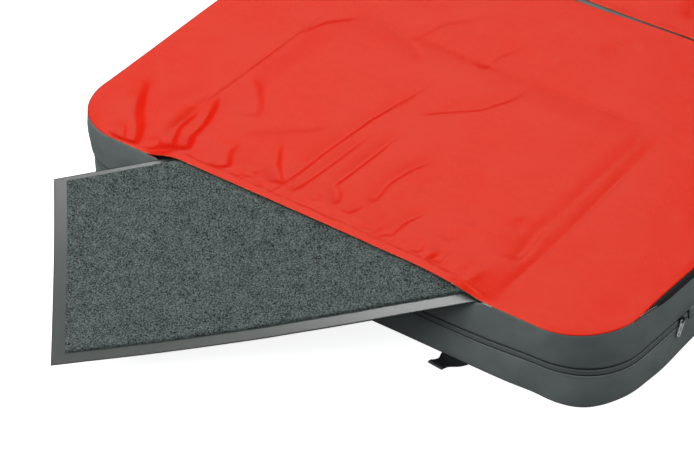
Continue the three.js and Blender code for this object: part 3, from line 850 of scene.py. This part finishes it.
def mat_bend():
    """Tables along a line straight out of the slot: the sheet's own length, its way out, height and slope."""
    s = np.linspace(-0.16, 0.46, 621)
    step = s[1] - s[0]
    near, far = math.radians(16.6), math.radians(7.4)
    slope = near * smoothstep((s + 0.012) / 0.016) + (far - near) * smoothstep((s - 0.05) / 0.32)
    rise = (MAT_EXIT_Z - MAT_FLOOR_Z) * smoothstep((s + 0.14) / 0.16)
    y = s[0] + np.concatenate([[0], np.cumsum(np.cos(slope[:-1]) * step)])
    z = -np.concatenate([[0], np.cumsum(np.sin(slope[:-1]) * step)])
    z = z - np.interp(0, s, z) + MAT_EXIT_Z - (MAT_EXIT_Z - MAT_FLOOR_Z - rise)
    return s, y, z, slope


BEND = mat_bend()


def on_mat(a, b, h):
    """Where a point of the mat lies: a along it, b across it, h above the rubber's underside."""
    c, s = math.cos(MAT["turn"]), math.sin(MAT["turn"])
    x = MAT["corner"][0] + a * c + b * s
    out = -(MAT["corner"][1] + a * s - b * c)
    free = smoothstep(out / 0.08)
    wave = free * (0.9 * MM * value_noise(a, b, 0.12, 51) + 0.4 * MM * value_noise(a, b, 0.05, 52))
    table_s, table_y, table_z, table_slope = BEND
    inside = out < table_s[0]
    y = np.where(inside, out, np.interp(out, table_s, table_y))
    z = np.where(inside, MAT_FLOOR_Z, np.interp(out, table_s, table_z))
    slope = np.where(inside, 0, np.interp(out, table_s, table_slope))
    lift = h + wave - 1.4 * MM * smoothstep((x - 0.08) / 0.16) * smoothstep((out + 0.12) / 0.08) * (1 - free)
    return np.stack([x + 0 * y, FREE_Y - y - lift * np.sin(slope), z + lift * np.cos(slope)], axis=-1)


def graded(length, step, fine):
    """Positions from 0 to length, closer together near both ends."""
    fine = np.array(fine) * MM
    middle = np.linspace(fine[-1], length - fine[-1], max(2, int((length - 2 * fine[-1]) / step)))
    return np.concatenate([fine[:-1], middle, length - fine[:-1][::-1]])


def add_doormat():
    w, l, border = MAT["width"], MAT["length"], MAT["border"]
    fine = [0, 0.8, 2, 5, 12, 20]
    a, b = np.meshgrid(graded(l, 6 * MM, fine), graded(w, 6 * MM, fine), indexing="ij")
    edge = np.minimum(np.minimum(a, l - a), np.minimum(b, w - b))
    top = 1.1 * MM + 0.5 * MM * smoothstep(edge / (1.0 * MM)) + 0.2 * MM * smoothstep((edge - 0.004) / 0.012)
    uv = np.stack([a, b], axis=-1)
    rubber = cloth_piece("doormat_base", on_mat(a, b, top), uv, flip=True, inner=on_mat(a, b, 0 * a))
    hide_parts("doormat_rubber")
    dress(rubber, RUBBER, "doormat")

    step = 2 * MM
    la, lb = l - 2 * border, w - border - MAT["rear_border"]
    fine = [0, 0.25, 0.9, 2.0]
    a, b = np.meshgrid(graded(la, step, fine), graded(lb, step, fine), indexing="ij")
    edge = np.minimum(np.minimum(a, la - a), np.minimum(b, lb - b))
    tufts = np.random.default_rng(61).uniform(-1, 1, a.shape)
    height = PILE_H * smoothstep(edge / (1.4 * MM)) ** 0.5
    inside = smoothstep(edge / (1.5 * MM))
    height = height + inside * (0.55 * MM * tufts + 0.4 * MM * value_noise(a, b, 7 * MM, 62))
    jitter = np.random.default_rng(63).uniform(-0.5, 0.5, (2,) + a.shape) * MM
    ja, jb = a + border + jitter[0], b + MAT["rear_border"] + jitter[1]
    base = RUBBER_T + 0.25 * MM
    uv = np.stack([a, b], axis=-1)
    outer, inner = on_mat(ja, jb, base + height), on_mat(ja, jb, base + 0 * a)
    pile = cloth_piece("doormat_pile", outer, uv, flip=True, inner=inner)
    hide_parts("doormat_carpet")
    dress(pile, CARPET, "doormat")


def add_lining():
    """The pocket's floor, its sides turned up to the seams."""
    x0, x1, y0, y1 = POCKET_LOW[0], POCKET_HIGH[0], FREE_Y + 1 * MM, POCKET_HIGH[1]
    fine = [0, 1, 3, 6, 12]
    x = x0 + graded(x1 - x0, 15 * MM, fine)
    y = y0 + graded(y1 - y0, 15 * MM, fine)
    x, y = np.meshgrid(x, y, indexing="ij")
    side = np.minimum(np.minimum(x - x0, x1 - x), y1 - y)
    floor_z = POCKET_LOW[2] + 0.9 * MM
    z = floor_z + 6.0 * MM * (1 - smoothstep(side / 0.010)) + 4.6 * MM * (1 - smoothstep((y - FREE_Y) / 0.06))
    p, uv = np.stack([x, y, z], axis=-1), np.stack([x, y], axis=-1)
    lining = cloth_piece("pocket_lining_cloth", p, uv, 0.8 * MM)
    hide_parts("pocket_lining")
    dress(lining, LINING, "front_half")


def add_hinge_cloth():
    x = np.linspace(-HALF_W + 2 * MM, HALF_W - 2 * MM, 160)
    y = np.linspace(-9 * MM, 9 * MM, 19)
    x, y = np.meshgrid(x, y, indexing="ij")
    z = TOP_Z - 2.4 * MM - 0.6 * MM * np.cos(math.pi * y / (18 * MM)) ** 2
    p = np.stack([x, HINGE_Y + y + hinge_bow(x), z], axis=-1)
    cloth = cloth_piece("hinge_cloth", p, np.stack([x, y], axis=-1))
    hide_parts("hinge_strip")
    cloth.data.materials.append(GREY)
    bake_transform(cloth)


# ---------------------------------------------------------------- underside, inner walls and straps


def strap_boxes():
    names = [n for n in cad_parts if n.startswith(("shoulder_", "closure_webbing", "closure_hook"))]
    return [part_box(name) for name in names]


def add_base(end):
    """The base cloth: a thin pad that follows the bowed bottom seam, hollowed where the straps lie."""
    turn = np.linspace(0, math.pi / 2, 25)
    straight = np.linspace(CORNER_Y, TOP_HIGH[1], 90)[1:]
    rows = np.concatenate([FREE_Y + CORNER_R * (1 - np.cos(turn)), straight])
    widths = np.concatenate([CORNER_X + CORNER_R * np.sin(turn), np.full(len(straight), HALF_W)])
    x = np.linspace(-1, 1, 181)[:, None] * widths[None, :]
    y = np.broadcast_to(rows[None, :], x.shape)
    inside = np.clip(edge_distance(x, y), 0, None)
    nx, ny = outward(x, y)
    push = (side_bow(x, y, 0 * x) + 1.2 * MM) * smoothstep(1 - inside / 0.06)
    edge = 1 - smoothstep(inside / (4 * MM))
    top = 5.2 * MM - 1.6 * MM * edge
    under = 0.35 * MM + 1.4 * MM * edge + 0.3 * MM * (1 + value_noise(x, y, 0.05, 91))
    p = np.stack([x + nx * push, y + ny * push, 0 * x], axis=-1)
    if end == "rear":
        p = mirrored(p)
        for low, high in strap_boxes():
            gap_x = np.maximum(low[0] - p[..., 0], p[..., 0] - high[0])
            gap_y = np.maximum(low[1] - p[..., 1], p[..., 1] - high[1])
            room = 1 - smoothstep((np.maximum(gap_x, gap_y) - 1 * MM) / (5 * MM))
            under = np.maximum(under, (high[2] + 0.4 * MM) * room)
            top = np.maximum(top, (high[2] + 1.4 * MM) * room)
    upper, lower = p.copy(), p.copy()
    upper[..., 2], lower[..., 2] = top, under
    uv = np.stack([x, y], axis=-1)
    base = cloth_piece(f"{end}_base_cloth", upper, uv, flip=end == "rear", inner=lower)
    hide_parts(f"{end}_base_panel")
    dress(base, GREY_FLAT, f"{end}_half")


def add_hinge_wall(end):
    """The inner wall at the hinge, puckered where it meets the top and the base."""
    across, up = np.linspace(-HALF_W, HALF_W, 240), np.linspace(6.6 * MM, TOP_Z - 2.6 * MM, 34)
    x, z = np.meshgrid(across, up, indexing="ij")
    t = (z - z.min()) / (z.max() - z.min())
    seed = 71 if end == "front" else 75
    sag = 0.9 * MM * value_noise(x, z, 0.06, seed) + 0.4 * MM * value_noise(x, z, 0.02, seed + 1)
    y = TOP_HIGH[1] - 0.4 * MM + (3.4 * MM + sag) * np.sin(math.pi * t) ** 0.6
    p, uv = np.stack([x, y, z], axis=-1)[::-1], np.stack([x, z], axis=-1)[::-1]
    wall = half_piece(f"{end}_inner_wall", end, p, uv)
    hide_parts(f"{end}_hinge_wall")
    dress(wall, GREY_FLAT, f"{end}_half")


def flat_strap(name, node, material, crown, rows, quilt=None):
    """A strap or pad that lies in its own box, with soft edges and a slightly crowned face on both sides."""
    low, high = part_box(node)
    u, v = np.meshgrid(np.linspace(0, 1, 21), np.linspace(0, 1, rows), indexing="ij")
    x, y = low[0] + (high[0] - low[0]) * u, low[1] + (high[1] - low[1]) * v
    side = np.minimum(np.minimum(x - low[0], high[0] - x), np.minimum(y - low[1], high[1] - y))
    full = (high[2] - low[2]) / 2
    half = 0.35 * MM + (full - 0.35 * MM) * smoothstep(side / crown) ** 0.5
    if quilt:
        half = half * (1 - 0.45 * hump(np.abs(x - (low[0] + high[0]) / 2), quilt, 2 * MM))
    middle = (low[2] + high[2]) / 2
    upper, lower = np.stack([x, y, middle + half], axis=-1), np.stack([x, y, middle - half], axis=-1)
    strap = cloth_piece(name, upper, np.stack([y, x], axis=-1), inner=lower)
    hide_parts(node)
    dress(strap, material, "rear_half")
    return strap, (float(high[0] - low[0]), float(high[1] - low[1]))


def add_straps():
    for side in ("left", "right"):
        for kind in ("shoulder_anchor", "shoulder_webbing", "closure_webbing"):
            strap, flat = flat_strap(f"{kind}_strap_{side}", f"{kind}_{side}", WEBBING,
                                     1.2 * MM, 60)
        pad, _ = flat_strap(f"shoulder_cushion_{side}", f"shoulder_pad_{side}", GREY_FLAT,
                            9 * MM, 150, quilt=18 * MM)


def add_hook(side):
    """The closure strap's metal hook: a bar for the webbing, and an open tongue that catches the tab."""
    low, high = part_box(f"closure_hook_{side}")
    wide, long = (high[0] - low[0]) / MM / 2, (high[1] - low[1]) / MM / 2
    r = 4
    corners = [(wide - r, long - r, 0), (r - wide, long - r, 90), (r - wide, r - long, 180),
               (wide - r, r - long, 270)]
    rim = [v for cx, cy, start in corners for v in arc(cx, cy, r, start, start + 90, 6)]
    slots = [[(x, y + long - 5.5) for x, y in capsule(2 * wide - 7, 3.4)],
             [(x, y - 2.5) for x, y in capsule(2 * wide - 9, 9.0)]]
    hook = plate(f"closure_hook_frame_{side}", in_metres([rim] + slots), high[2] - low[2], 0.9 * MM)
    turned(hook, [(a + b) / 2 for a, b in zip(low, high)], np.eye(3))
    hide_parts(f"closure_hook_{side}")
    dress(hook, SLIDER, "rear_half")


TAB_ROOT, TAB_TIP = 23 * MM, 11.5 * MM


def add_closure_tab(side, sign):
    """Ribbed webbing sewn into the bottom seam, waisted, its hemmed tip lifted and a little twisted."""
    low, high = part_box(f"closure_tab_{side}")
    centre = (low[0] + high[0]) / 2
    reach = high[1] - low[1] + 1.0 * MM
    t = np.linspace(0, 1, 44)[None, :]
    u = np.linspace(-1, 1, 25)[:, None]
    half = TAB_TIP + (TAB_ROOT - TAB_TIP) * (1 - smoothstep(t / 0.75)) ** 1.4
    x = centre - 4.5 * MM * t * sign + half * u
    y = high[1] + 1.2 * MM - reach * t + 1.0 * MM * u * t
    lift = 11.5 * MM * smoothstep((t - 0.25) / 0.75) + 1.6 * MM * np.sin(math.pi * t) * u**2
    z = 2.6 * MM + lift - 2.4 * MM * u * t * sign
    hem = smoothstep((t - 0.80) / 0.02)
    thick = (1.5 + 1.1 * hem) * MM + 0 * u
    p = np.stack([x, y, z + 0.9 * MM * hem], axis=-1)
    uv = np.stack([(t * reach + 0 * u), (u * half + 0 * t)], axis=-1)
    normal = grid_normals(p)
    tab = cloth_piece(f"closure_strap_{side}", p, uv, flip=True, inner=p + normal * thick[..., None])
    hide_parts(f"closure_tab_{side}")
    dress(tab, WEBBING, "front_half")
    tab.data.materials.append(HEM_EDGE)
    end_faces = [f for f in tab.data.polygons if f.center[1] < low[1] + 3.2 * MM]
    for face in end_faces:
        face.material_index = 1


# ---------------------------------------------------------------- zips, sliders and stitches


def turned(obj, origin, axes):
    """Applies a place to a mesh: its x, y and z go to the three axes, and its zero to the origin."""
    place = Matrix(axes).transposed().to_4x4()
    obj.data.transform(Matrix.Translation(origin) @ place)
    return obj


def plate(name, rings, thick, bevel):
    """A flat plate cut from closed outlines (the inner ones are holes), with rounded edges, as a mesh."""
    curve = bpy.data.curves.new(name, "CURVE")
    curve.dimensions, curve.fill_mode = "2D", "BOTH"
    curve.extrude, curve.bevel_depth, curve.bevel_resolution = thick / 2 - bevel, bevel, 2
    curve.offset = -bevel
    for ring in rings:
        spline = curve.splines.new("POLY")
        spline.points.add(len(ring) - 1)
        for point, (x, y) in zip(spline.points, ring):
            point.co = (x, y, 0, 1)
        spline.use_cyclic_u = True
    obj = bpy.data.objects.new(name, curve)
    bpy.context.scene.collection.objects.link(obj)
    mesh = bpy.data.meshes.new_from_object(obj.evaluated_get(bpy.context.evaluated_depsgraph_get()))
    bpy.data.objects.remove(obj)
    bpy.data.curves.remove(curve)
    mesh.shade_smooth()
    made = bpy.data.objects.new(name, mesh)
    bpy.context.scene.collection.objects.link(made)
    return made


def arc(cx, cy, r, start, stop, count=10):
    t = np.radians(np.linspace(start, stop, count))
    return [(cx + r * math.cos(v), cy + r * math.sin(v)) for v in t]


def capsule(length, width, count=12):
    r = width / 2
    return arc(length / 2 - r, 0, r, -90, 90, count) + arc(-length / 2 + r, 0, r, 90, 270, count)


def in_metres(rings):
    return [[(x * MM, y * MM) for x, y in ring] for ring in rings]


def join(name, pieces):
    bpy.ops.object.select_all(action="DESELECT")
    for piece in pieces:
        piece.select_set(True)
    bpy.context.view_layer.objects.active = pieces[0]
    bpy.ops.object.join()
    pieces[0].name = name
    return pieces[0]


# The pull tab's twist about its length, the lift of its tip and its slant across the zip
TAB_POSE = [math.radians(v) for v in (-16, 5, 50)]


def add_slider(prefix, flip):
    """A slider's two plates on a wedge, the bridge bent from sheet, and the pull tab with its hole."""
    low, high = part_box(f"{prefix}_slider")
    along = -1 if flip else 1
    origin = Vector((low[0], (low[1] + high[1]) / 2, (low[2] + high[2]) / 2))
    axes = ((0, along, 0), (0, 0, 1), (1, 0, 0))
    stack = (("a", 14, 7.6, 1.2, 0.35, 0.6), ("b", 9, 3.0, 2.0, 0.2, 1.9), ("c", 13.4, 7.0, 1.2, 0.45, 3.3))
    parts = []
    for name, long, wide, thick, bevel, height in stack:
        layer = plate(name, [capsule(long * MM, wide * MM)], thick * MM, bevel * MM)
        parts.append(turned(layer, (0, 0, height * MM), np.eye(3)))
    outer = [(-3.0, 0)] + arc(-1.6, 1.9, 1.4, 180, 90, 6) + arc(1.6, 1.9, 1.4, 90, 0, 6) + [(3.0, 0)]
    inner = [(2.1, 0)] + arc(1.2, 1.5, 0.9, 0, 90, 6) + arc(-1.2, 1.5, 0.9, 90, 180, 6) + [(-2.1, 0)]
    upright = ((1, 0, 0), (0, 0, 1), (0, -1, 0))
    arch = plate("d", in_metres([outer + inner]), 1.4 * MM, 0.25 * MM)
    parts.append(turned(arch, (0, 0, 3.75 * MM), upright))
    body = turned(join(f"{prefix}_slider_body", parts), origin, axes)
    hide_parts(f"{prefix}_slider")
    dress(body, SLIDER, f"{prefix}_slider")

    rim = [(0.5, -4), (0.5, 4), (-6, 4)] + arc(-9, 0, 3.6, 75, 88, 3) + arc(-20.5, 0, 3.5, 90, 270, 14)
    rim = rim + arc(-9, 0, 3.6, 272, 285, 3) + [(-6, -4)]
    eye = [(-0.5, -2.9), (-0.5, 2.9), (-4.4, 2.9), (-4.4, -2.9)]
    hole = arc(-20.4, 0, 1.6, 0, 342, 18)
    waist = [(x - 12, y) for x, y in capsule(7.5, 2.0, 8)]
    tab = plate(f"{prefix}_pull_plate", in_metres([rim, eye, hole, waist]), 1.2 * MM, 0.3 * MM)
    turned(tab, (0.3 * MM, 0, 5.2 * MM), Euler(TAB_POSE).to_matrix().transposed())
    turned(tab, origin, axes)
    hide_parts(f"{prefix}_pull_tab")
    dress(tab, PULL, f"{prefix}_pull")


def spindles(name, places, along, out, length, radius, material, body):
    """Stitches: one small spindle at each place, pointing along, standing a little out of the cloth."""
    verts, faces = [], []
    for place, run, rise in zip(places, along, out):
        side = np.cross(run, rise)
        base = len(verts)
        verts += [place - run * length / 2, place + run * length / 2, place + rise * radius * 1.3,
                  place - rise * radius * 0.6, place + side * radius, place - side * radius]
        for a, b in ((2, 4), (4, 3), (3, 5), (5, 2)):
            faces += [[base, base + a, base + b], [base + 1, base + b, base + a]]
    made = new_object(name, verts, faces)
    dress(made, material, body)
    return made


def on_front_top(points, pitch):
    """Evenly spaced places on the front top along a line of (x, y) points, and the directions there."""
    points = np.array(points, float)
    ends = run_lengths(points)[1]
    s = np.arange(pitch / 2, ends[-1], pitch)
    x, y = np.interp(s, ends, points[:, 0]), np.interp(s, ends, points[:, 1])
    places = np.stack([x, y + slot_shift(x, y), TOP_Z + front_relief(x, y)], axis=-1)
    return places, unit_rows(np.gradient(places, axis=0))


def add_stitches():
    hem_x = np.linspace(-0.318, 0.300, 40)
    hem = np.stack([hem_x, np.full(40, FREE_Y + 0.0165)], axis=-1)
    rows = [on_front_top(line, 3.6 * MM) for line in [points for points, _, _ in POCKET_SEAMS] + [hem]]
    places, along = np.concatenate([r[0] for r in rows]), np.concatenate([r[1] for r in rows])
    up = np.broadcast_to([0.0, 0.0, 1.0], places.shape)
    spindles("pocket_stitches", places, along, up, 2.6 * MM, 0.32 * MM, RED_THREAD, "front_half")

    path = side_path(step=4.0 * MM)
    for end in ("front", "rear"):
        all_places, all_along, all_out = [], [], []
        for height, inset in ((BAND_Z[1] + 2.4 * MM, -1.05), (BAND_Z[0] - 2.4 * MM, -1.15)):
            points, normals, _ = zip_only(path, ZIP_END_Y)
            level = height + zip_wander(points)
            bow = side_bow(points[:, 0], points[:, 1], level)
            flat = points + normals * (bow - inset * MM)[:, None]
            places = np.concatenate([flat, level[:, None]], axis=1)
            all_places.append(places)
            all_along.append(unit_rows(np.gradient(places, axis=0)))
            all_out.append(np.concatenate([normals, np.zeros((len(flat), 1))], axis=1))
        places, run, out = (np.concatenate(v) for v in (all_places, all_along, all_out))
        if end == "rear":
            places, run, out = mirrored(places), run * [1, -1, 1], out * [1, -1, 1]
        spindles(f"{end}_zip_stitches", places, run, out, 2.8 * MM, 0.3 * MM, GREY_THREAD, f"{end}_half")


def add_bar_tack(side, material):
    """Dense stitching that closes the end of the slot, along its lip."""
    low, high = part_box(f"bar_tack_{side}")
    x = np.linspace(low[0] + 1 * MM, high[0], 26)
    y = FREE_Y - 1.0 * MM + 0.5 * MM * (np.arange(26) % 2)
    places = np.stack([x, y, np.full(26, SEAM_TOP_Z + 0.2 * MM)], axis=-1)
    lean = np.where(np.arange(26) % 2, 1.0, -1.0)
    along = np.stack([0.5 * lean, np.full(26, 0.3), np.full(26, 0.81)], axis=-1)
    out = np.broadcast_to([0.0, -1.0, 0.0], along.shape)
    tack = spindles(f"slot_tack_{side}", places, along, out, 2.4 * MM, 0.45 * MM, material, "front_half")
    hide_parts(f"bar_tack_{side}")


def add_edge_row(name, node, span, pitch, size, radius, material, on_lip):
    """A row of small spindles along the right edge: teeth on the band's lip, or the closed coil above it."""
    at = np.arange(*span, pitch)
    bow = side_bow(np.full_like(at, HALF_W), at, 0.118)
    reach = (0.4 + 1.6 * edge_open(at) * on_lip) * MM
    level = SEAM_TOP_Z + 2.4 * MM - EDGE_ZIP_DROP * edge_open(at) if on_lip else np.full_like(at, 0.1178)
    places = np.stack([HALF_W + reach + bow, at, level], axis=-1)
    run = np.broadcast_to([-0.35, 0.0, 0.94], places.shape)
    out = np.broadcast_to([0.94, 0.0, 0.35], places.shape)
    piece = spindles(name, places, run, out, size, radius, material, "front_half")
    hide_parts(node)


def add_edge_zip():
    """The short zip under the right edge: sloping dark tape, light teeth at its start, then closed coil."""
    low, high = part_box("edge_zip_tape")
    y = np.linspace(low[1] - 17 * MM, high[1], 200)
    start = edge_open(y)[:, None]
    t = np.linspace(0, 1, 9)[None, :]
    z = TOP_Z - 0.6 * MM - (1.5 * MM + EDGE_ZIP_DROP * start) * t
    x = HALF_W - 3.2 * MM * start + (0.6 * MM + 4.6 * MM * start) * t**0.7 - 0.6 * MM
    x = x + side_bow(np.full_like(x, HALF_W), y[:, None] + 0 * t, z)
    p = np.stack([x, y[:, None] + 0 * t, z], axis=-1)
    tape = cloth_piece("edge_zip_cloth", p, np.stack([p[..., 1], p[..., 2]], axis=-1), 0.8 * MM, flip=True)
    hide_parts("edge_zip_tape")
    dress(tape, TAPE_BLACK, "front_half")

    teeth = (low[1] - 4 * MM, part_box("edge_zip_teeth")[1][1] + 4 * MM)
    coil = (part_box("edge_zip_coil")[0][1] + 5 * MM, high[1] - 1 * MM)
    add_edge_row("edge_zip_open_teeth", "edge_zip_teeth", teeth, 4.4 * MM, 2.2 * MM, 1.0 * MM, THREAD,
                 on_lip=True)
    add_edge_row("edge_zip_closed_coil", "edge_zip_coil", coil, 1.3 * MM, 2.8 * MM, 0.35 * MM, DARK_TAPE_AND_SHADE,
                 on_lip=False)


def add_garages(end):
    for side, sign in (("left", -1), ("right", 1)):
        node = f"{end}_zip_garage_{side}"
        low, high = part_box(node)
        y0, y1 = low[1] + 9 * MM, high[1]
        if end == "rear":
            y0, y1 = low[1], high[1] - 9 * MM
        u, v = np.meshgrid(np.linspace(0, 1, 17), np.linspace(0, 1, 13), indexing="ij")
        y, z = y0 + (y1 - y0) * u, low[2] + 1.5 * MM + (high[2] - low[2] - 3 * MM) * v
        side_gap = np.minimum(np.minimum(y - y0, y1 - y), np.minimum(z - z.min(), z.max() - z))
        x = sign * (HALF_W + 1.2 * MM + 1.5 * MM * smoothstep(side_gap / (4 * MM)) ** 0.5)
        p, uv = np.stack([x, y, z], axis=-1), np.stack([y, z], axis=-1)
        patch = cloth_piece(f"{end}_zip_patch_{side}", p, uv, 1.0 * MM, flip=sign < 0)
        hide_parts(node)
        dress(patch, GREY, f"{end}_half")


def paint_kept_nodes():
    kept = {
        CLOSED_FOAM: ["front_foam_base", "rear_foam_base"],
        OPEN_FOAM: ["front_foam_core", "rear_foam_core"],
        COIL: ["front_zip_coil", "rear_zip_coil"],
    }
    for material, names in kept.items():
        for name in names:
            paint_cad(name, material)


add_camera()
add_studio()
for half in ("front", "rear"):
    add_foam(half)
    add_bands(half)
    add_base(half)
    add_hinge_wall(half)
    add_garages(half)
    add_slider(f"{half}_zip", flip=half == "rear")
add_red_tops()
add_slider("edge_zip", flip=False)
add_edge_zip()
add_bar_tack("left", RED_THREAD)
add_bar_tack("right", THREAD)
add_stitches()
add_lining()
add_doormat()
add_hinge_cloth()
add_straps()
for side_name, side_sign in (("left", -1), ("right", 1)):
    add_closure_tab(side_name, side_sign)
    add_hook(side_name)
paint_kept_nodes()
